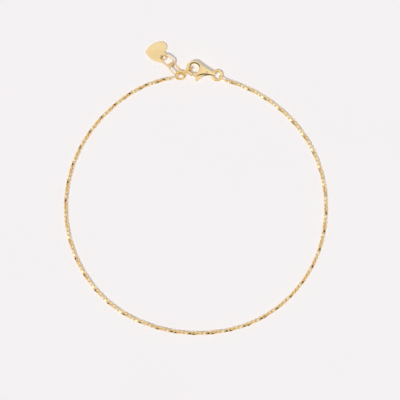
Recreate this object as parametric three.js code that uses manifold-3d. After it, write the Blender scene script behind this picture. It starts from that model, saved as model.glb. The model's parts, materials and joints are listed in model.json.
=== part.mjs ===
// A fine gold anklet, closed and laid in a loop on a flat surface: a twisted chain, a lobster clasp,
// a short extension of links and a heart tag. Millimetres, +Z up from the surface it lies on.

import * as THREE from 'three';
import { mergeVertices } from 'three/addons/utils/BufferGeometryUtils.js';
import Module from 'manifold-3d';

const wasm = await Module();
wasm.setup();

// Finishes
const paleGold = { color: 0xe6d08e, roughness: 0.22, metalness: 1.0 };
const chainGold = { color: 0xe0bd7c, roughness: 0.3, metalness: 1.0 };
const ringGold = { color: 0xdfae55, roughness: 0.25, metalness: 1.0 };

// Chain: the bearing and radius of its lie, and how far it is lifted off the surface
const chainDiameter = 1.15;
const chainSides = 8;
const chainSteps = 80;
const chainLie = [
  { bearing: 102, radius: 39.5, lift: 0.22 },
  { bearing: 106, radius: 39.65, lift: 0.12 },
  { bearing: 112, radius: 39.8, lift: 0 },
  { bearing: 135, radius: 39.75, lift: 0 },
  { bearing: 160, radius: 40.25, lift: 0 },
  { bearing: 185, radius: 40.8, lift: 0 },
  { bearing: 210, radius: 41.0, lift: 0 },
  { bearing: 228, radius: 40.9, lift: 0 },
  { bearing: 250, radius: 40.1, lift: 0 },
  { bearing: 270, radius: 39.8, lift: 0 },
  { bearing: 300, radius: 40.15, lift: 0 },
  { bearing: 330, radius: 40.0, lift: 0 },
  { bearing: 360, radius: 39.3, lift: 0 },
  { bearing: 390, radius: 38.9, lift: 0 },
  { bearing: 408, radius: 38.6, lift: 0 },
  { bearing: 428, radius: 38.7, lift: 0 },
  { bearing: 433, radius: 38.8, lift: 0.12 },
  { bearing: 437.5, radius: 38.95, lift: 0.22 },
];

// Points to a curve, and sides to a round
const heartCurve = 12;
const claspCurve = 14;
const leverCurve = 8;
const eyeSides = 16;
const pinSides = 12;
const wireSides = 6;
const linkSides = 16;
const mergeDistance = 1e-4;

// Wire link at each end of the chain, standing on its edge: its outer length and width, and where it lies
const endLink = { length: 2.9, width: 1.9, wire: 0.38 };
const endLinks = [
  { x: -7.27, y: 39.02, heading: 20 },
  { x: 7.5, y: 38.57, heading: -30 },
];

// Rings and links: the middle of each, its heading on the surface, its tilt along and across, and its size
const links = [
  {
    name: 'end_ring', finish: ringGold, length: 3.3, width: 3.3, wire: 0.66,
    x: -5.48, y: 39.52, heading: 89.4, tilt: 30.7, roll: 1.5,
  },
  {
    name: 'catch_link', finish: ringGold, length: 3.9, width: 3.0, wire: 0.5,
    x: -3.55, y: 40.7, heading: 29.3, tilt: -4.6, roll: 79.2,
  },
  {
    name: 'extension_link_1', finish: paleGold, length: 4.9, width: 3.6, wire: 0.55,
    x: -7.19, y: 41.48, heading: -48.7, tilt: 2.5, roll: -45.8,
  },
  {
    name: 'extension_link_2', finish: paleGold, length: 4.9, width: 3.6, wire: 0.55,
    x: -9.3, y: 44.0, heading: -38, tilt: -1, roll: 34,
  },
];
const claspRing = { x: 5.9, y: 39.5, heading: -16.7, tilt: -5, height: 1.03, diameter: 3.6, wire: 0.7 };

// Heart tag: lengths from its tip
const heart = {
  tipX: -16.18, tipY: 46.8, tilt: 2.7, roll: -9.7,
  lobeX: 4.75, lobeY: 1.5, lobeRadius: 1.8, sideX: 1.6, sideY: 3.05,
  thickness: 0.45, bevel: 0.1, holeX: 5.33, holeY: -1.82, holeDiameter: 1.55,
};

// Clasp: measured from the middle of its hook, x towards the tail
const clasp = { x: -1.109, y: 41.64, heading: -16.7, thickness: 2.4, bevel: 0.15 };
const hook = {
  innerRadius: 1.5, outerRadius: 2.32, outerX: -0.2, outerY: -0.05,
  startAngle: 62, tipAngle: 278, innerTipAngle: 263, cheekAngle: 308,
  noseThickness: 0.9, taperFrom: 80, taperTo: 185, fullAngle: 296,
};
const cheek = {
  cornerX: 1.25, cornerY: -2.1, bellyX: 2.3, bellyY: -1.75, waistX: 2.9, waistY: -0.85,
  lowerX: 4.8, lowerY: -0.8, upperX: 5.14, upperY: 0.67, backX: 3.0, backY: 1.1,
};
const tail = { length: 6.72, chamfer: 0.28, endHalf: 0.14, sideHalf: 0.38, eyeX: 5.85, eyeDiameter: 1.12 };
const slot = { width: 1.1, startX: 0.6, endX: 5.0, spineX: 1.5, spineY: 1.15, endY: 0.4, depth: 3.0 };
const pivot = { x: 4.1, y: 0.0, pinDiameter: 0.4, cheekHole: 0.52, leverHole: 0.56, hubRadius: 0.5 };
const lever = {
  thickness: 0.9, bevel: 0.06, gateRadius: 4.4, gateInnerAngle: 199.5, gateOuterAngle: 211, hubAngle: 125,
};

// Lever outline: each curve's bend and the point it runs to, from the gate round the thumb nub to the hub,
// then along the inner side
const leverOuter = [
  { bendX: 0.8, bendY: -2.35, x: 1.15, y: -2.25 },
  { bendX: 1.1, bendY: -3.25, x: 1.6, y: -3.6 },
  { bendX: 2.45, bendY: -3.1, x: 2.75, y: -2.0 },
  { bendX: 3.3, bendY: -1.3, x: 4.4, y: -0.95 },
  { bendX: 4.75, bendY: -0.85, x: 4.65, y: -0.45 },
];
const leverInner = { bendX: 2.4, bendY: -0.5, x: 1.2, y: -0.95, gateBendX: 0.6, gateBendY: -1.5 };

// A closed solid, with its shared corners merged
function toSolid(geometry) {
  const bare = geometry.clone();
  bare.deleteAttribute('normal');
  bare.deleteAttribute('uv');
  const merged = mergeVertices(bare, mergeDistance);
  return new wasm.Manifold(new wasm.Mesh({
    numProp: 3,
    vertProperties: new Float32Array(merged.attributes.position.array),
    triVerts: new Uint32Array(merged.index.array),
  }));
}

function toGeometry(solid) {
  const mesh = solid.getMesh();
  const geometry = new THREE.BufferGeometry();
  geometry.setAttribute('position', new THREE.BufferAttribute(mesh.vertProperties, 3));
  geometry.setIndex(new THREE.BufferAttribute(mesh.triVerts, 1));
  geometry.computeVertexNormals();
  return geometry;
}

function named(name, geometry, finish) {
  const mesh = new THREE.Mesh(geometry, new THREE.MeshStandardMaterial(finish));
  mesh.name = name;
  return mesh;
}

const radians = THREE.MathUtils.degToRad;

function onCircle(x, y, radius, degrees) {
  return new THREE.Vector2(x + radius * Math.cos(radians(degrees)), y + radius * Math.sin(radians(degrees)));
}

function extruded(shape, depth, bevel, curveSegments) {
  const geometry = new THREE.ExtrudeGeometry(shape, {
    depth: depth - 2 * bevel,
    bevelEnabled: bevel > 0,
    bevelThickness: bevel,
    bevelSize: bevel,
    bevelOffset: -bevel,
    bevelSegments: 1,
    curveSegments,
  });
  return geometry.translate(0, 0, bevel - depth / 2);
}

// An oval wire link in the XY plane, its long way along X
function linkGeometry({ length, width, wire }) {
  const geometry = new THREE.TorusGeometry((width - wire) / 2, wire / 2, wireSides, linkSides);
  const stretch = (length - width) / 2;
  const { position } = geometry.attributes;
  for (let i = 0; i < position.count; i += 1) {
    const x = position.getX(i);
    const side = Math.abs(x) < mergeDistance ? 0 : Math.sign(x);
    position.setX(i, x + side * stretch);
  }
  return geometry;
}

function turned(mesh, { x, y, heading, tilt, roll }) {
  mesh.position.set(x, y, 0);
  mesh.rotation.set(radians(roll), radians(-tilt), radians(heading), 'ZYX');
  return mesh;
}

function laidOnSurface(mesh) {
  mesh.updateMatrixWorld(true);
  mesh.position.z -= new THREE.Box3().setFromObject(mesh, true).min.z;
  return mesh;
}

function chain() {
  const points = chainLie.map(({ bearing, radius, lift }) => {
    const plan = onCircle(0, 0, radius, bearing);
    return new THREE.Vector3(plan.x, plan.y, chainDiameter / 2 + lift);
  });
  const section = new THREE.Shape();
  for (let i = 0; i < chainSides; i += 1) {
    const corner = onCircle(0, 0, chainDiameter / 2, (360 * (i + 0.5)) / chainSides);
    if (i === 0) {
      section.moveTo(corner.x, corner.y);
    } else {
      section.lineTo(corner.x, corner.y);
    }
  }
  const run = new THREE.ExtrudeGeometry(section, {
    steps: chainSteps,
    extrudePath: new THREE.CatmullRomCurve3(points, false, 'centripetal'),
  });
  let solid = toSolid(run);
  for (const { x, y, heading } of endLinks) {
    const upright = linkGeometry(endLink).rotateX(radians(90)).rotateZ(radians(heading));
    solid = solid.add(toSolid(upright.translate(x, y, endLink.width / 2)));
  }
  return named('chain', toGeometry(solid), chainGold);
}

function jumpRing() {
  const { diameter, wire, height } = claspRing;
  const ring = named('clasp_ring', linkGeometry({ length: diameter, width: diameter, wire }), ringGold);
  turned(ring, { ...claspRing, roll: 0 });
  ring.position.z = height;
  return ring;
}

function heartTag() {
  const { lobeX, lobeY, lobeRadius, sideX, sideY } = heart;
  const notchAngle = Math.asin(lobeY / lobeRadius);
  const outline = new THREE.Shape();
  outline.moveTo(0, 0);
  outline.quadraticCurveTo(sideX, -sideY, lobeX, -lobeY - lobeRadius);
  outline.absarc(lobeX, -lobeY, lobeRadius, -Math.PI / 2, notchAngle, false);
  outline.absarc(lobeX, lobeY, lobeRadius, -notchAngle, Math.PI / 2, false);
  outline.quadraticCurveTo(sideX, sideY, 0, 0);
  const hole = new THREE.Path();
  hole.absarc(heart.holeX, heart.holeY, heart.holeDiameter / 2, 0, 2 * Math.PI, true);
  outline.holes.push(hole);
  const tag = named('heart_tag', extruded(outline, heart.thickness, heart.bevel, heartCurve), paleGold);
  return laidOnSurface(turned(tag, { ...heart, x: heart.tipX, y: heart.tipY, heading: 0 }));
}

// The hook thins from the full thickness of the cheeks to its nose
function noseTaper(x, y) {
  const bearing = (THREE.MathUtils.radToDeg(Math.atan2(y, x)) + 360) % 360;
  if (bearing > hook.fullAngle) {
    return 1;
  }
  const share = THREE.MathUtils.smoothstep(bearing, hook.taperFrom, hook.taperTo);
  return THREE.MathUtils.lerp(1, hook.noseThickness / clasp.thickness, share);
}

function pinForm(diameter, length) {
  const form = new THREE.CylinderGeometry(diameter / 2, diameter / 2, length, pinSides);
  return form.rotateX(Math.PI / 2).translate(pivot.x, pivot.y, 0);
}

function claspBody() {
  const outline = new THREE.Shape();
  outline.moveTo(cheek.cornerX, cheek.cornerY);
  outline.bezierCurveTo(cheek.bellyX, cheek.bellyY, cheek.waistX, cheek.waistY, cheek.lowerX, cheek.lowerY);
  outline.lineTo(tail.length - tail.chamfer, -tail.sideHalf);
  outline.lineTo(tail.length, -tail.endHalf);
  outline.lineTo(tail.length, tail.endHalf);
  outline.lineTo(tail.length - tail.chamfer, tail.sideHalf);
  outline.lineTo(cheek.upperX, cheek.upperY);
  const { outerX, outerY, outerRadius, startAngle, tipAngle } = hook;
  const shoulder = onCircle(outerX, outerY, outerRadius, startAngle);
  outline.quadraticCurveTo(cheek.backX, cheek.backY, shoulder.x, shoulder.y);
  outline.absarc(outerX, outerY, outerRadius, radians(startAngle), radians(tipAngle), false);
  outline.absarc(0, 0, hook.innerRadius, radians(hook.innerTipAngle), radians(hook.cheekAngle - 360), true);
  const form = extruded(outline, clasp.thickness, clasp.bevel, claspCurve);
  const { position } = form.attributes;
  for (let i = 0; i < position.count; i += 1) {
    position.setZ(i, position.getZ(i) * noseTaper(position.getX(i), position.getY(i)));
  }
  const leverSlot = new THREE.Shape([
    new THREE.Vector2(slot.startX, -slot.depth),
    new THREE.Vector2(slot.endX, -slot.depth),
    new THREE.Vector2(slot.endX, slot.endY),
    new THREE.Vector2(slot.spineX, slot.spineY),
    new THREE.Vector2(slot.startX, slot.spineY),
  ]);
  const eye = new THREE.CylinderGeometry(tail.eyeDiameter / 2, tail.eyeDiameter / 2, slot.depth, eyeSides);
  const pinHole = pinForm(pivot.cheekHole, 2 * clasp.thickness);
  const solid = toSolid(form)
    .subtract(toSolid(extruded(leverSlot, slot.width, 0, 1)))
    .subtract(toSolid(eye.translate(tail.eyeX, 0, 0)))
    .subtract(toSolid(pinHole));
  return named('clasp_body', toGeometry(solid), paleGold);
}

function claspLever() {
  const gateInner = onCircle(pivot.x, pivot.y, lever.gateRadius, lever.gateInnerAngle);
  const gateOuter = onCircle(pivot.x, pivot.y, lever.gateRadius, lever.gateOuterAngle);
  const outline = new THREE.Shape();
  outline.moveTo(gateOuter.x, gateOuter.y);
  for (const { bendX, bendY, x, y } of leverOuter) {
    outline.quadraticCurveTo(bendX, bendY, x, y);
  }
  outline.absarc(pivot.x, pivot.y, pivot.hubRadius, 0, radians(lever.hubAngle), false);
  outline.quadraticCurveTo(leverInner.bendX, leverInner.bendY, leverInner.x, leverInner.y);
  outline.quadraticCurveTo(leverInner.gateBendX, leverInner.gateBendY, gateInner.x, gateInner.y);
  const bore = new THREE.Path();
  bore.absarc(pivot.x, pivot.y, pivot.leverHole / 2, 0, 2 * Math.PI, true);
  outline.holes.push(bore);
  return named('clasp_lever', extruded(outline, lever.thickness, lever.bevel, leverCurve), paleGold);
}

function claspPin() {
  return named('clasp_pin', pinForm(pivot.pinDiameter, clasp.thickness), paleGold);
}

function lobsterClasp() {
  const group = new THREE.Group();
  group.add(claspBody(), claspLever(), claspPin());
  group.position.set(clasp.x, clasp.y, clasp.thickness / 2);
  group.rotation.z = radians(clasp.heading);
  return group;
}

const laid = new THREE.Group();
laid.add(chain(), heartTag(), lobsterClasp(), jumpRing());
for (const link of links) {
  laid.add(laidOnSurface(turned(named(link.name, linkGeometry(link), link.finish), link)));
}

// The origin is on the surface, under the middle of the whole anklet
laid.updateMatrixWorld(true);
const reach = new THREE.Box3().setFromObject(laid, true);
const middle = reach.getCenter(new THREE.Vector3());
laid.position.set(-middle.x, -middle.y, -reach.min.z);

const anklet = new THREE.Group();
anklet.add(laid);

export default anklet;
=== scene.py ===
import json
import math

import bpy
import numpy as np
from mathutils import Euler, Matrix, Vector


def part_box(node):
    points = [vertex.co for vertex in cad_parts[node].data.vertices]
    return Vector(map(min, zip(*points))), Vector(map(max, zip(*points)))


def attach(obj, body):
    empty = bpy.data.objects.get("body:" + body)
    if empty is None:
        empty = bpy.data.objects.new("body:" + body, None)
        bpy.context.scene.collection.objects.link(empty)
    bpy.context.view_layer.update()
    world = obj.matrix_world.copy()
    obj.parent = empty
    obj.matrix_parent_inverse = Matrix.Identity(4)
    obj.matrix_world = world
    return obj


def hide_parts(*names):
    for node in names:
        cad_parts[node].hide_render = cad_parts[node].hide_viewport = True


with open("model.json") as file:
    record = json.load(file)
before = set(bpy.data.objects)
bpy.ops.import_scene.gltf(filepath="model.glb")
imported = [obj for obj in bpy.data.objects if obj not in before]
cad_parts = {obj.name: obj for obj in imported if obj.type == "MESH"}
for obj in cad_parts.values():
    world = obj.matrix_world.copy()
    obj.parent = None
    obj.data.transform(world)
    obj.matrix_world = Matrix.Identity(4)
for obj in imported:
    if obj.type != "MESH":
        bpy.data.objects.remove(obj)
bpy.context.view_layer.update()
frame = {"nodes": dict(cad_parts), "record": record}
mm = 0.001
samePoint = 0.01   # outline points nearer than this, in millimetres, count as one
hair = 0.001   # millimetres, finer than any cut or fold here
print("frame loaded,", len(frame["nodes"]), "nodes")


# small helpers for working on one object at a time

def selectOnly(piece):
    bpy.ops.object.select_all(action="DESELECT")
    piece.select_set(True)
    bpy.context.view_layer.objects.active = piece


def freshPiece(name):   # the primitive that was just added
    piece = bpy.context.object
    piece.name = name
    piece.data.name = name
    return piece


def applyPlace(piece):   # place and turn go into the mesh, the object stays at the origin
    selectOnly(piece)
    bpy.ops.object.transform_apply(location=True, rotation=True, scale=True)


def useModifier(piece, kind, **settings):
    selectOnly(piece)
    modifier = piece.modifiers.new(kind.lower(), kind)
    for name, value in settings.items():
        setattr(modifier, name, value)
    bpy.ops.object.modifier_apply(modifier=modifier.name)


def cutAway(piece, cutter):
    useModifier(piece, "BOOLEAN", operation="DIFFERENCE", solver="EXACT", object=cutter)
    bpy.data.objects.remove(cutter)


def roundEdges(piece, width, segments, angle):
    useModifier(
        piece, "BEVEL", width=width, segments=segments, limit_method="ANGLE",
        angle_limit=math.radians(angle), use_clamp_overlap=True,
    )


def smoothFaces(piece, angle):
    selectOnly(piece)
    bpy.ops.object.shade_smooth_by_angle(angle=math.radians(angle))


def keepFlats(piece):   # broad faces shade flat up to their softened edges
    useModifier(piece, "WEIGHTED_NORMAL", keep_sharp=True)


# outlines, in the piece's own millimetres

def arcPoints(x, y, radius, fromDegrees, toDegrees, count):
    turns = np.radians(np.linspace(fromDegrees, toDegrees, count))
    return [(x + radius * math.cos(t), y + radius * math.sin(t)) for t in turns]


def bendPoints(start, bend, end, count):
    steps = np.linspace(0, 1, count)[:, None]
    start, bend, end = (np.array(p) for p in (start, bend, end))
    run = (1 - steps) ** 2 * start + 2 * steps * (1 - steps) * bend + steps ** 2 * end
    return [tuple(p) for p in run]


def sweepPoints(start, first, second, end, count):
    steps = np.linspace(0, 1, count)[:, None]
    start, first, second, end = (np.array(p) for p in (start, first, second, end))
    run = (1 - steps) ** 3 * start + 3 * steps * (1 - steps) ** 2 * first
    run = run + 3 * steps ** 2 * (1 - steps) * second + steps ** 3 * end
    return [tuple(p) for p in run]


def edged(points, *widths):   # an outline's points, each with the width of the sloping edge there
    if len(widths) > 1:
        widths = np.interp(np.linspace(0, 1, len(points)), np.linspace(0, 1, len(widths)), widths)
    else:
        widths = np.full(len(points), widths[0])
    return [(x, y, width) for (x, y), width in zip(points, widths)]


def movedIn(spots, widths):   # the outline of the flat face inside the sloping edge
    ahead = np.roll(spots, -1, axis=0) - spots
    ahead = ahead / np.linalg.norm(ahead, axis=1)[:, None]
    both = ahead + np.roll(ahead, 1, axis=0)
    inward = np.column_stack((-both[:, 1], both[:, 0]))
    inward = inward / np.linalg.norm(inward, axis=1)[:, None]
    x, y = spots.T
    if np.sum(x * np.roll(y, -1) - y * np.roll(x, -1)) < 0:
        inward = -inward
    return spots + inward * widths[:, None]


# a disc pulled out to the outline and raised rim by rim, with a sloping edge if the points carry widths
def plateFrom(name, outline, thickness, slope=0.8):
    steps = [math.dist(p[:2], outline[i - 1][:2]) for i, p in enumerate(outline)]
    clear = np.array([p for p, step in zip(outline, steps) if step > samePoint])
    spots = clear[:, :2]
    half = np.full(len(clear), thickness / 2)
    rims = [(spots, -half), (spots, half)]
    if clear.shape[1] > 2:
        face = movedIn(spots, clear[:, 2])
        side = half - clear[:, 2] * slope
        rims = [(face, -half), (spots, -side), (spots, side), (face, half)]
    bpy.ops.object.select_all(action="DESELECT")
    bpy.ops.mesh.primitive_circle_add(vertices=len(clear), radius=mm, fill_type="NGON")
    piece = freshPiece(name)
    for level, (rim, heights) in enumerate(rims):
        bpy.ops.object.mode_set(mode="EDIT")
        if level == 0:
            bpy.ops.mesh.select_all(action="SELECT")
        else:
            bpy.ops.mesh.extrude_region_move(TRANSFORM_OT_translate={"value": (0, 0, mm)})
        bpy.ops.object.mode_set(mode="OBJECT")
        for vertex, (x, y), z in zip(piece.data.vertices[level * len(clear):], rim, heights):
            vertex.co = (x * mm, y * mm, z * mm)
    bpy.ops.object.mode_set(mode="EDIT")
    bpy.ops.mesh.select_all(action="SELECT")
    bpy.ops.mesh.normals_make_consistent(inside=False)
    bpy.ops.object.mode_set(mode="OBJECT")
    return piece


def boreCutter(x, y, diameter, length, across=False):
    bpy.ops.object.select_all(action="DESELECT")
    turn = (math.pi / 2, 0, 0) if across else (0, 0, 0)
    bpy.ops.mesh.primitive_cylinder_add(
        vertices=40, radius=diameter * mm / 2, depth=length * mm,
        location=(x * mm, y * mm, 0), rotation=turn,
    )
    return freshPiece("bore_cutter")


# shader sums: an output socket that can be added, scaled and taken away from

class Shade:
    def __init__(self, tree, socket=None):
        self.tree = tree
        self.socket = socket

    def node(self, kind, settings=None, sockets=None, out=0):
        made = self.tree.nodes.new(kind)
        for name, value in (settings or {}).items():
            if name == "stops":
                self.fillRamp(made.color_ramp, value)
            else:
                setattr(made, name, value)
        for name, value in (sockets or {}).items():
            self.feed(made.inputs[name], value)
        return Shade(self.tree, made.outputs[out])

    def fillRamp(self, ramp, stops):
        while len(ramp.elements) < len(stops):
            ramp.elements.new(0.5)
        for element, (position, colour) in zip(ramp.elements, stops):
            element.position = position
            element.color = colour

    def feed(self, socket, value):
        if isinstance(value, Shade):
            self.tree.links.new(value.socket, socket)
        else:
            socket.default_value = value

    def maths(self, operation, first, second):
        return self.node("ShaderNodeMath", {"operation": operation}, {0: first, 1: second})

    def __add__(self, other):
        return self.maths("ADD", self, other)

    def __radd__(self, other):
        return self.maths("ADD", other, self)

    def __sub__(self, other):
        return self.maths("SUBTRACT", self, other)

    def __rsub__(self, other):
        return self.maths("SUBTRACT", other, self)

    def __mul__(self, other):
        return self.maths("MULTIPLY", self, other)

    def __rmul__(self, other):
        return self.maths("MULTIPLY", other, self)

    def mixed(self, factor, first, second):
        return self.node("ShaderNodeMix", {"data_type": "RGBA"}, {0: factor, 6: first, 7: second}, 2)

    def noise(self, vector, scale, detail):
        sockets = {"Vector": vector, "Scale": scale, "Detail": detail}
        return self.node("ShaderNodeTexNoise", {}, sockets, "Fac")

    def eased(self, value, start, end):   # 0 up to start, 1 from end on
        sockets = {"Value": value, "From Min": start, "From Max": end}
        return self.node("ShaderNodeMapRange", {"interpolation_type": "SMOOTHSTEP"}, sockets)

    def facing(self, direction, way):
        settings = {"operation": "DOT_PRODUCT"}
        return self.node("ShaderNodeVectorMath", settings, {0: direction, 1: way}, "Value")


# gold: cloudy tone, brushed lines left by polishing, and a fine grain

polish = {
    "lineStretch": (1, 14, 14), "lineShare": 0.6, "depth": 0.00002, "noiseMiddle": 0.5,
    "blend": [(0.3, (0, 0, 0, 1)), (0.7, (1, 1, 1, 1))],
}


def goldFinish(name, look):
    material = bpy.data.materials.new(name)
    material.use_nodes = True
    tree = material.node_tree
    surface = tree.nodes["Principled BSDF"]
    shade = Shade(tree)
    place = shade.node("ShaderNodeTexCoord", out="Object")
    cloud = shade.noise(place, look["cloudScale"], detail=2.0)
    drawn = shade.node("ShaderNodeMapping", {}, {
        "Vector": place, "Rotation": look["lineTurn"], "Scale": polish["lineStretch"]})
    lines = shade.noise(drawn, look["lineScale"], detail=4.0)
    grain = shade.noise(place, look["grainScale"], detail=3.0)
    blend = shade.node("ShaderNodeValToRGB", {"stops": polish["blend"]}, {"Fac": cloud})
    tone = shade.mixed(blend, look["deep"], look["pale"])
    middle, swing = polish["noiseMiddle"], look["roughSwing"]
    rough = look["rough"] + (grain - middle) * swing + (lines - middle) * swing
    relief = lines * polish["lineShare"] + grain * (1 - polish["lineShare"])
    swell = shade.node("ShaderNodeBump", {}, {"Strength": 1.0, "Distance": look["wave"], "Height": cloud})
    bump = shade.node("ShaderNodeBump", {}, {
        "Strength": look["bump"], "Distance": polish["depth"], "Height": relief, "Normal": swell})
    shade.feed(surface.inputs["Base Color"], tone)
    shade.feed(surface.inputs["Roughness"], rough)
    shade.feed(surface.inputs["Normal"], bump)
    surface.inputs["Metallic"].default_value = 1.0
    return material


paleGold = goldFinish("pale_gold", {
    "deep": (0.86, 0.63, 0.31, 1), "pale": (0.97, 0.77, 0.43, 1), "cloudScale": 200.0, "wave": 0.00012,
    "lineTurn": (0, 0, 0.5), "lineScale": 900.0, "grainScale": 5200.0,
    "rough": 0.16, "roughSwing": 0.1, "bump": 0.04,
})
chainGold = goldFinish("chain_gold", {
    "deep": (0.92, 0.69, 0.35, 1), "pale": (0.98, 0.82, 0.48, 1), "cloudScale": 420.0, "wave": 0.00002,
    "lineTurn": (0, 0, 1.1), "lineScale": 700.0, "grainScale": 6000.0,
    "rough": 0.09, "roughSwing": 0.06, "bump": 0.03,
})
ringGold = goldFinish("ring_gold", {
    "deep": (0.93, 0.62, 0.22, 1), "pale": (0.98, 0.75, 0.34, 1), "cloudScale": 380.0, "wave": 0.00004,
    "lineTurn": (0, 0, -0.4), "lineScale": 800.0, "grainScale": 5600.0,
    "rough": 0.14, "roughSwing": 0.1, "bump": 0.04,
})
print("finishes mixed")


def dress(piece, material, slot, body, *nodes):
    piece.data.materials.clear()
    piece.data.materials.append(material)
    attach(piece, body)
    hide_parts(*nodes)


# round wire bent to an oval, its long way along X

def wireLink(name, length, width, wire, around, section):
    bpy.ops.object.select_all(action="DESELECT")
    bpy.ops.mesh.primitive_torus_add(
        major_segments=around, minor_segments=section,
        major_radius=(width - wire) * mm / 2, minor_radius=wire * mm / 2,
    )
    link = freshPiece(name)
    stretch = (length - width) * mm / 2
    for side in (-1, 1):
        bpy.ops.object.mode_set(mode="EDIT")
        bpy.ops.mesh.select_all(action="DESELECT")
        bpy.ops.object.mode_set(mode="OBJECT")
        for vertex in link.data.vertices:
            vertex.select = vertex.co.x * side > hair * mm
        bpy.ops.object.mode_set(mode="EDIT")
        bpy.ops.transform.translate(value=(side * stretch, 0, 0))
        bpy.ops.object.mode_set(mode="OBJECT")
    return link


# rings and links: turned as they lie, each about the middle of its node

rings = {
    "end_ring": {"length": 3.3, "width": 3.3, "wire": 0.66, "heading": 89.4, "tilt": 30.7, "roll": 1.5},
    "catch_link": {"length": 3.9, "width": 3.0, "wire": 0.5, "heading": 29.3, "tilt": -4.6, "roll": 79.2},
    "clasp_ring": {"length": 3.6, "width": 3.6, "wire": 0.7, "heading": -16.7, "tilt": -5, "roll": 0},
    "extension_link_1": {
        "length": 4.9, "width": 3.6, "wire": 0.55, "heading": -48.7, "tilt": 2.5, "roll": -45.8},
    "extension_link_2": {
        "length": 4.9, "width": 3.6, "wire": 0.55, "heading": -38, "tilt": -1, "roll": 34},
}
ringFacets = (64, 16)   # round the ring and round its wire


def layLink(link, middle, heading, tilt, roll):
    link.rotation_euler = Euler((math.radians(roll), math.radians(-tilt), math.radians(heading)))
    link.location = middle
    applyPlace(link)


for node, ring in rings.items():
    link = wireLink(node + "_wire", ring["length"], ring["width"], ring["wire"], *ringFacets)
    low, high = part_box(node)
    layLink(link, (low + high) / 2, ring["heading"], ring["tilt"], ring["roll"])
    smoothFaces(link, angle=60)
    if node.startswith("extension"):
        dress(link, paleGold, "pale_gold", "anklet", node)
    else:
        dress(link, ringGold, "ring_gold", "anklet", node)
print("rings and links bent:", len(rings))


# the fine chain: one faceted link copied along its lie, each turned a little past square from the last

chain = {
    "middle": (0.7089, -4.8523), "linkLength": 1.2, "linkWidth": 1.34, "wire": 0.25, "wireDepth": 0.54,
    "pitch": 0.631, "firstTurn": 167, "turn": 100, "flatAt": 0.505, "height": 0.56, "trim": 0.62,
    "facets": (12, 6), "samples": 6000,
    "endLength": 2.9, "endWidth": 1.9, "endWire": 0.34, "endFacets": (40, 12),
    "ends": [(-7.27, 39.02, 20), (7.54, 38.545, -30)],
    "lie": [   # bearing, radius, lift
        (102, 39.5, 0.38), (106, 39.65, 0.14), (112, 39.8, 0), (135, 39.75, 0), (160, 40.25, 0),
        (185, 40.8, 0), (210, 41.0, 0), (228, 40.9, 0), (250, 40.1, 0), (270, 39.8, 0),
        (300, 40.15, 0), (330, 40.0, 0), (360, 39.3, 0), (390, 38.9, 0), (408, 38.6, 0),
        (428, 38.7, 0), (433, 38.8, 0.14), (437.5, 38.95, 0.38),
    ],
}


def smoothThrough(knots, values, at):   # a curve with no corners through the values
    slopes = np.gradient(values, knots)
    place = np.clip(np.searchsorted(knots, at) - 1, 0, len(knots) - 2)
    gap = knots[place + 1] - knots[place]
    t = (at - knots[place]) / gap
    rise = values[place] * (1 + 2 * t) * (1 - t) ** 2 + values[place + 1] * t * t * (3 - 2 * t)
    return rise + gap * (slopes[place] * t * (1 - t) ** 2 - slopes[place + 1] * t * t * (1 - t))


def chainRun():   # points of the chain's middle line, in the frame
    bearing, radius, lift = (np.array(column, float) for column in zip(*chain["lie"]))
    at = np.linspace(bearing[0] + chain["trim"], bearing[-1] - chain["trim"], chain["samples"])
    reach = smoothThrough(bearing, radius, at)
    rise = np.interp(at, bearing, lift) + chain["height"]
    x = reach * np.cos(np.radians(at)) + chain["middle"][0]
    y = reach * np.sin(np.radians(at)) + chain["middle"][1]
    return np.column_stack((x, y, rise)) * mm


def facetedLink():   # a link of deep wire with its two sides cut flat
    link = wireLink("chain_link", chain["linkWidth"], chain["linkWidth"], chain["wire"], *chain["facets"])
    squeeze = (chain["linkLength"] / chain["linkWidth"], 1, chain["wireDepth"] / chain["wire"])
    bpy.ops.object.mode_set(mode="EDIT")
    bpy.ops.mesh.select_all(action="SELECT")
    bpy.ops.transform.resize(value=squeeze)
    bpy.ops.object.mode_set(mode="OBJECT")
    for side in (-1, 1):
        bpy.ops.object.mode_set(mode="EDIT")
        bpy.ops.mesh.select_all(action="SELECT")
        bpy.ops.mesh.bisect(
            plane_co=(0, side * chain["flatAt"] * mm, 0), plane_no=(0, side, 0),
            use_fill=True, clear_outer=True, threshold=hair * mm,
        )
        bpy.ops.object.mode_set(mode="OBJECT")
    return link


def copiesAlong(link, run):
    away = np.concatenate(([0], np.cumsum(np.linalg.norm(np.diff(run, axis=0), axis=1))))
    count = int(round(away[-1] / (chain["pitch"] * mm))) + 1
    stops = np.linspace(0, away[-1], count)
    spots = np.column_stack([np.interp(stops, away, run[:, k]) for k in range(3)])
    ways = np.gradient(spots, axis=0)
    corners = np.array([v.co for v in link.data.vertices])
    faces = [list(p.vertices) for p in link.data.polygons]
    points = []
    sides = []
    for i, (spot, way) in enumerate(zip(spots, ways)):
        along = way / np.linalg.norm(way)
        across = np.cross((0, 0, 1), along)
        across = across / np.linalg.norm(across)
        above = np.cross(along, across)
        turn = math.radians(chain["firstTurn"] + i * chain["turn"])
        left = math.cos(turn) * across + math.sin(turn) * above
        up = math.cos(turn) * above - math.sin(turn) * across
        sides += [[k + len(points) for k in face] for face in faces]
        points += list(corners @ np.array([along, left, up]) + spot)
    return count, points, sides


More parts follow.
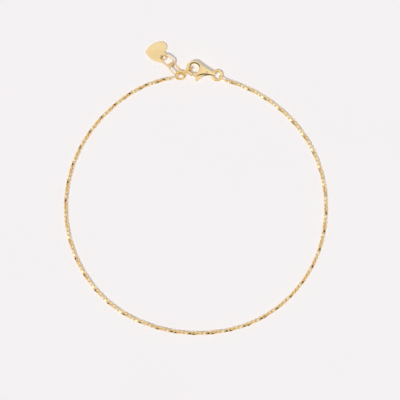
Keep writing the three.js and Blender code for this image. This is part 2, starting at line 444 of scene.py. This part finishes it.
run = chainRun()
pattern = facetedLink()
linkCount, linkPoints, linkSides = copiesAlong(pattern, run)
pattern.data.clear_geometry()
pattern.data.from_pydata(linkPoints, [], linkSides)
pattern.name = "chain_links"
endWires = []
endSize = [chain[name] for name in ("endLength", "endWidth", "endWire")]
for x, y, heading in chain["ends"]:
    endWire = wireLink("chain_end", *endSize, *chain["endFacets"])
    spot = Vector((x + chain["middle"][0], y + chain["middle"][1], chain["endWidth"] / 2)) * mm
    layLink(endWire, spot, heading, tilt=0, roll=90)
    smoothFaces(endWire, angle=60)
    endWires.append(endWire)
selectOnly(pattern)
for endWire in endWires:
    endWire.select_set(True)
bpy.ops.object.join()
dress(pattern, chainGold, "chain_gold", "anklet", "chain")
print("chain linked:", linkCount, "links")


# heart tag: a flat plate with soft edges and a hole in its lower lobe

heart = {
    "lobeX": 4.75, "lobeY": 1.5, "lobeRadius": 1.8, "sideX": 1.6, "sideY": 3.05, "thickness": 0.45,
    "edge": 0.13, "holeX": 5.33, "holeY": -1.82, "hole": 1.55, "drill": 2, "tilt": 2.7, "roll": -9.7,
}


def heartTag():
    notch = math.degrees(math.asin(heart["lobeY"] / heart["lobeRadius"]))
    lobeEnd = heart["lobeY"] + heart["lobeRadius"]
    outline = bendPoints((0, 0), (heart["sideX"], -heart["sideY"]), (heart["lobeX"], -lobeEnd), count=28)
    outline += arcPoints(heart["lobeX"], -heart["lobeY"], heart["lobeRadius"], -90, notch, count=34)
    outline += arcPoints(heart["lobeX"], heart["lobeY"], heart["lobeRadius"], -notch, 90, count=34)
    outline += bendPoints((heart["lobeX"], lobeEnd), (heart["sideX"], heart["sideY"]), (0, 0), count=28)
    tag = plateFrom("heart_plate", outline, heart["thickness"])
    cutAway(tag, boreCutter(heart["holeX"], heart["holeY"], heart["hole"], heart["drill"]))
    roundEdges(tag, heart["edge"] * mm, segments=4, angle=40)
    smoothFaces(tag, angle=35)
    tag.rotation_euler = Euler((math.radians(heart["roll"]), math.radians(-heart["tilt"]), 0))
    applyPlace(tag)
    low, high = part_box("heart_tag")
    corners = np.array([v.co for v in tag.data.vertices])
    tag.location = (low + high) / 2 - Vector((corners.min(0) + corners.max(0)) / 2)
    applyPlace(tag)
    keepFlats(tag)
    return tag


dress(heartTag(), paleGold, "pale_gold", "anklet", "heart_tag")
print("heart tag cut")


# lobster clasp, measured from the middle of its hook, with x towards the tail

clasp = {
    "heading": -16.7, "thickness": 2.4, "pinX": 4.1,
    "edge": 0.16, "fineEdge": 0.06, "hookEdge": 0.4, "cheekEdge": 0.4, "soften": 0.03,
    "hole": 1.5, "hookRadius": 2.32, "hookX": -0.2, "hookY": -0.05,
    "hookStart": 62, "hookTip": 278, "innerTip": 263, "innerStart": -52, "full": 296,
    "nose": 0.9, "taperFrom": 80, "taperTo": 185,
    "corner": (1.25, -2.1), "belly": (2.3, -1.75), "waist": (2.9, -0.85), "lower": (4.8, -0.8),
    "upper": (5.14, 0.67), "back": (3.0, 1.1),
    "tail": 6.72, "tailChamfer": 0.28, "tailEnd": 0.14, "tailSide": 0.38, "eyeX": 5.85, "eye": 1.12,
    "slot": 1.1, "slotOutline": [(0.6, -3), (5.0, -3), (5.0, 0.4), (1.5, 1.15), (0.6, 1.15)],
    "pinHole": 0.52, "drill": 4,
}
pinPlace = Vector(frame["record"]["behaviour"]["joints"][0]["pos_m"])
claspTurn = Matrix.Rotation(math.radians(clasp["heading"]), 4, "Z")
claspPlace = Matrix.Translation(pinPlace) @ claspTurn @ Matrix.Translation((-clasp["pinX"] * mm, 0, 0))


def layOnClasp(piece):
    piece.matrix_world = claspPlace
    applyPlace(piece)


def thinNose(body):   # the hook thins from the cheeks' thickness to its nose, its edges keep their slope
    half = clasp["thickness"] * mm / 2
    for vertex in body.data.vertices:
        bearing = math.degrees(math.atan2(vertex.co.y, vertex.co.x)) % 360
        share = min(max((bearing - clasp["taperFrom"]) / (clasp["taperTo"] - clasp["taperFrom"]), 0), 1)
        share = share * share * (3 - 2 * share)
        if bearing < clasp["full"]:
            vertex.co.z -= math.copysign(share * (half - clasp["nose"] * mm / 2), vertex.co.z)


def claspBody():
    fine, edge, hook, under = (clasp[name] for name in ("fineEdge", "edge", "hookEdge", "cheekEdge"))
    tail = clasp["tail"]
    flank = tail - clasp["tailChamfer"]
    cheek = sweepPoints(clasp["corner"], clasp["belly"], clasp["waist"], clasp["lower"], count=18)
    end = [(flank, -clasp["tailSide"]), (tail, -clasp["tailEnd"])]
    end += [(x, -y) for x, y in reversed(end)]
    hookArc = arcPoints(
        clasp["hookX"], clasp["hookY"], clasp["hookRadius"],
        clasp["hookStart"], clasp["hookTip"], count=56,
    )
    back = bendPoints(clasp["upper"], clasp["back"], hookArc[0], count=16)
    inside = arcPoints(0, 0, clasp["hole"], clasp["innerTip"], clasp["innerStart"], count=64)
    outline = edged(cheek, edge, under, under, under) + edged(end, edge, fine, fine, fine)
    outline += edged(back, edge) + edged(hookArc, edge)
    outline += edged(inside, fine, hook, hook, hook, hook, hook, hook, fine)
    body = plateFrom("clasp_shell", outline, clasp["thickness"])
    thinNose(body)
    roundEdges(body, clasp["soften"] * mm, segments=2, angle=25)
    cutAway(body, plateFrom("slot_cutter", clasp["slotOutline"], clasp["slot"]))
    cutAway(body, boreCutter(clasp["eyeX"], 0, clasp["eye"], clasp["drill"], across=True))
    cutAway(body, boreCutter(clasp["pinX"], 0, clasp["pinHole"], clasp["drill"]))
    smoothFaces(body, angle=25)
    layOnClasp(body)
    keepFlats(body)
    return body


lever = {
    "thickness": 0.9, "edge": 0.1, "armEdge": 0.3, "nubEdge": 0.08, "slope": 0.7,
    "gate": 4.4, "gateInner": 199.5, "gateOuter": 211, "hub": 0.5, "hubEnd": 125, "bore": 0.56,
    "outer": [   # bend and end of each curve from the gate round the thumb nub to the hub
        ((0.8, -2.35), (1.15, -2.25)), ((1.1, -3.25), (1.6, -3.6)), ((2.45, -3.1), (2.75, -2.0)),
        ((3.3, -1.3), (4.4, -0.95)), ((4.75, -0.85), (4.65, -0.45)),
    ],
    "innerBend": (2.4, -0.5), "inner": (1.2, -0.95), "gateBend": (0.6, -1.5),
}


def claspLever():
    gateOuter, gateInner = arcPoints(
        clasp["pinX"], 0, lever["gate"], lever["gateOuter"], lever["gateInner"], count=2)
    edge, nub, under = (lever[name] for name in ("edge", "nubEdge", "armEdge"))
    slopes = [(edge, edge), (edge, nub), (nub, nub), (under / 2, under), (under, edge)]
    outline = edged([gateOuter], edge)
    for (bend, end), (first, last) in zip(lever["outer"], slopes):
        outline += edged(bendPoints(outline[-1][:2], bend, end, count=12), first, last)
    hub = arcPoints(clasp["pinX"], 0, lever["hub"], 0, lever["hubEnd"], count=16)
    inner = bendPoints(hub[-1], lever["innerBend"], lever["inner"], count=14)
    gate = bendPoints(inner[-1], lever["gateBend"], gateInner, count=12)
    outline += edged(hub + inner + gate, edge)
    arm = plateFrom("lever_arm", outline, lever["thickness"], lever["slope"])
    roundEdges(arm, clasp["soften"] * mm, segments=2, angle=25)
    cutAway(arm, boreCutter(clasp["pinX"], 0, lever["bore"], clasp["drill"]))
    smoothFaces(arm, angle=25)
    layOnClasp(arm)
    keepFlats(arm)
    return arm


pin = {"diameter": 0.4, "edge": 0.06}


def claspPin():
    bpy.ops.object.select_all(action="DESELECT")
    bpy.ops.mesh.primitive_cylinder_add(
        vertices=32, radius=pin["diameter"] * mm / 2, depth=clasp["thickness"] * mm,
        location=(clasp["pinX"] * mm, 0, 0),
    )
    rivet = freshPiece("pin_rivet")
    applyPlace(rivet)
    roundEdges(rivet, pin["edge"] * mm, segments=3, angle=50)
    smoothFaces(rivet, angle=35)
    layOnClasp(rivet)
    return rivet


dress(claspBody(), paleGold, "pale_gold", "anklet", "clasp_body")
dress(claspLever(), paleGold, "pale_gold", "lever", "clasp_lever")
dress(claspPin(), paleGold, "pale_gold", "anklet", "clasp_pin")
print("clasp cast")


# floor, light and the camera straight above

studio = {
    "floor": 3.0, "floorTone": (0.92, 0.905, 0.905, 1), "floorPale": (0.94, 0.93, 0.93, 1),
    "floorCloud": 18.0, "floorRough": 0.7, "floorShine": 0.1,
    "floorGlow": (1.0, 0.975, 0.975, 1), "glowStrength": 0.2,
    "keyPlace": (-0.22, -0.2, 0.6), "keySpread": 9, "keyPower": 1.68, "fill": (0.285, 0.27, 0.28, 1),
    "backdrop": (0.93, 0.93, 0.93, 1),
    "frameWidth": 123.2, "frameMiddle": (1.325, -3.62), "cameraHeight": 0.6, "sensor": 36,
}

# the sky that the metal mirrors: bright, with a dark band for the flats of the links
# and a dark patch for the edges of the clasp
sky = {
    "below": [(0.0, 0.8), (0.6, 1.0), (0.74, 1.05)], "band": (0.765, 0.815), "above": [(0.84, 1.0)],
    "dark": (0.04, 0.03, 0.015, 1), "darkWay": (-0.34, -0.94, 0), "darkSpread": (0.4, 0.7),
    "darkFoot": (0.1, 0.14), "darkHead": (0.46, 0.56),
    "glows": [((-0.5, -0.4, 0.77), 1.7), ((0.5, 0.4, 0.77), 1.0)], "glowSpread": (0.9, 0.98),
}


def layFloor():
    bpy.ops.object.select_all(action="DESELECT")
    bpy.ops.mesh.primitive_plane_add(size=studio["floor"])
    floor = freshPiece("floor")
    material = bpy.data.materials.new("pale_floor")
    material.use_nodes = True
    surface = material.node_tree.nodes["Principled BSDF"]
    shade = Shade(material.node_tree)
    place = shade.node("ShaderNodeTexCoord", out="Object")
    cloud = shade.noise(place, studio["floorCloud"], detail=2.0)
    shade.feed(surface.inputs["Base Color"], shade.mixed(cloud, studio["floorTone"], studio["floorPale"]))
    surface.inputs["Roughness"].default_value = studio["floorRough"]
    surface.inputs["Specular IOR Level"].default_value = studio["floorShine"]
    surface.inputs["Emission Color"].default_value = studio["floorGlow"]   # a faint glow lifts the shadows
    surface.inputs["Emission Strength"].default_value = studio["glowStrength"]
    floor.data.materials.append(material)


def greyTone(level):
    return (level, level, level, 1)


def mirroredSky(shade):
    place = shade.node("ShaderNodeTexCoord", out="Generated")
    height = shade.node("ShaderNodeSeparateXYZ", {}, {"Vector": place}, "Z")
    stops = [(at, greyTone(level)) for at, level in sky["below"]]
    stops += [(at, sky["dark"]) for at in sky["band"]]
    stops += [(at, greyTone(level)) for at, level in sky["above"]]
    tone = shade.node("ShaderNodeValToRGB", {"stops": stops}, {"Fac": height})
    low = 1 - shade.eased(height, *sky["darkHead"])
    raised = shade.eased(height, *sky["darkFoot"])
    near = shade.eased(shade.facing(place, sky["darkWay"]), *sky["darkSpread"])
    tone = shade.mixed(low * raised * near, tone, sky["dark"])
    for way, strength in sky["glows"]:
        glow = shade.eased(shade.facing(place, way), *sky["glowSpread"])
        tone = shade.mixed(glow, tone, greyTone(strength))
    return tone


def lightStudio():
    world = bpy.data.worlds.new("studio")
    bpy.context.scene.world = world
    world.use_nodes = True
    tree = world.node_tree
    shade = Shade(tree)
    mirrored = shade.node("ShaderNodeLightPath", out="Is Glossy Ray")
    tone = shade.mixed(mirrored, studio["fill"], mirroredSky(shade))
    seen = shade.node("ShaderNodeLightPath", out="Is Camera Ray")
    tone = shade.mixed(seen, tone, studio["backdrop"])
    shade.feed(tree.nodes["Background"].inputs["Color"], tone)
    bpy.ops.object.light_add(type="SUN", location=studio["keyPlace"])
    key = bpy.context.object
    key.name = "key_light"
    key.data.angle = math.radians(studio["keySpread"])
    key.data.energy = studio["keyPower"]
    key.visible_glossy = False   # the metal mirrors the broad glow of the sky instead
    key.rotation_euler = (-Vector(studio["keyPlace"])).to_track_quat("-Z", "Y").to_euler()


def setCamera():
    x, y = studio["frameMiddle"]
    bpy.ops.object.camera_add(location=(x * mm, y * mm, studio["cameraHeight"]), rotation=(0, 0, 0))
    camera = bpy.context.object
    camera.name = "camera_above"
    camera.data.sensor_width = studio["sensor"]
    camera.data.lens = studio["sensor"] * studio["cameraHeight"] / (studio["frameWidth"] * mm)
    bpy.context.scene.camera = camera


layFloor()
lightStudio()
setCamera()
bpy.context.scene.view_settings.view_transform = "Standard"
print("studio set")
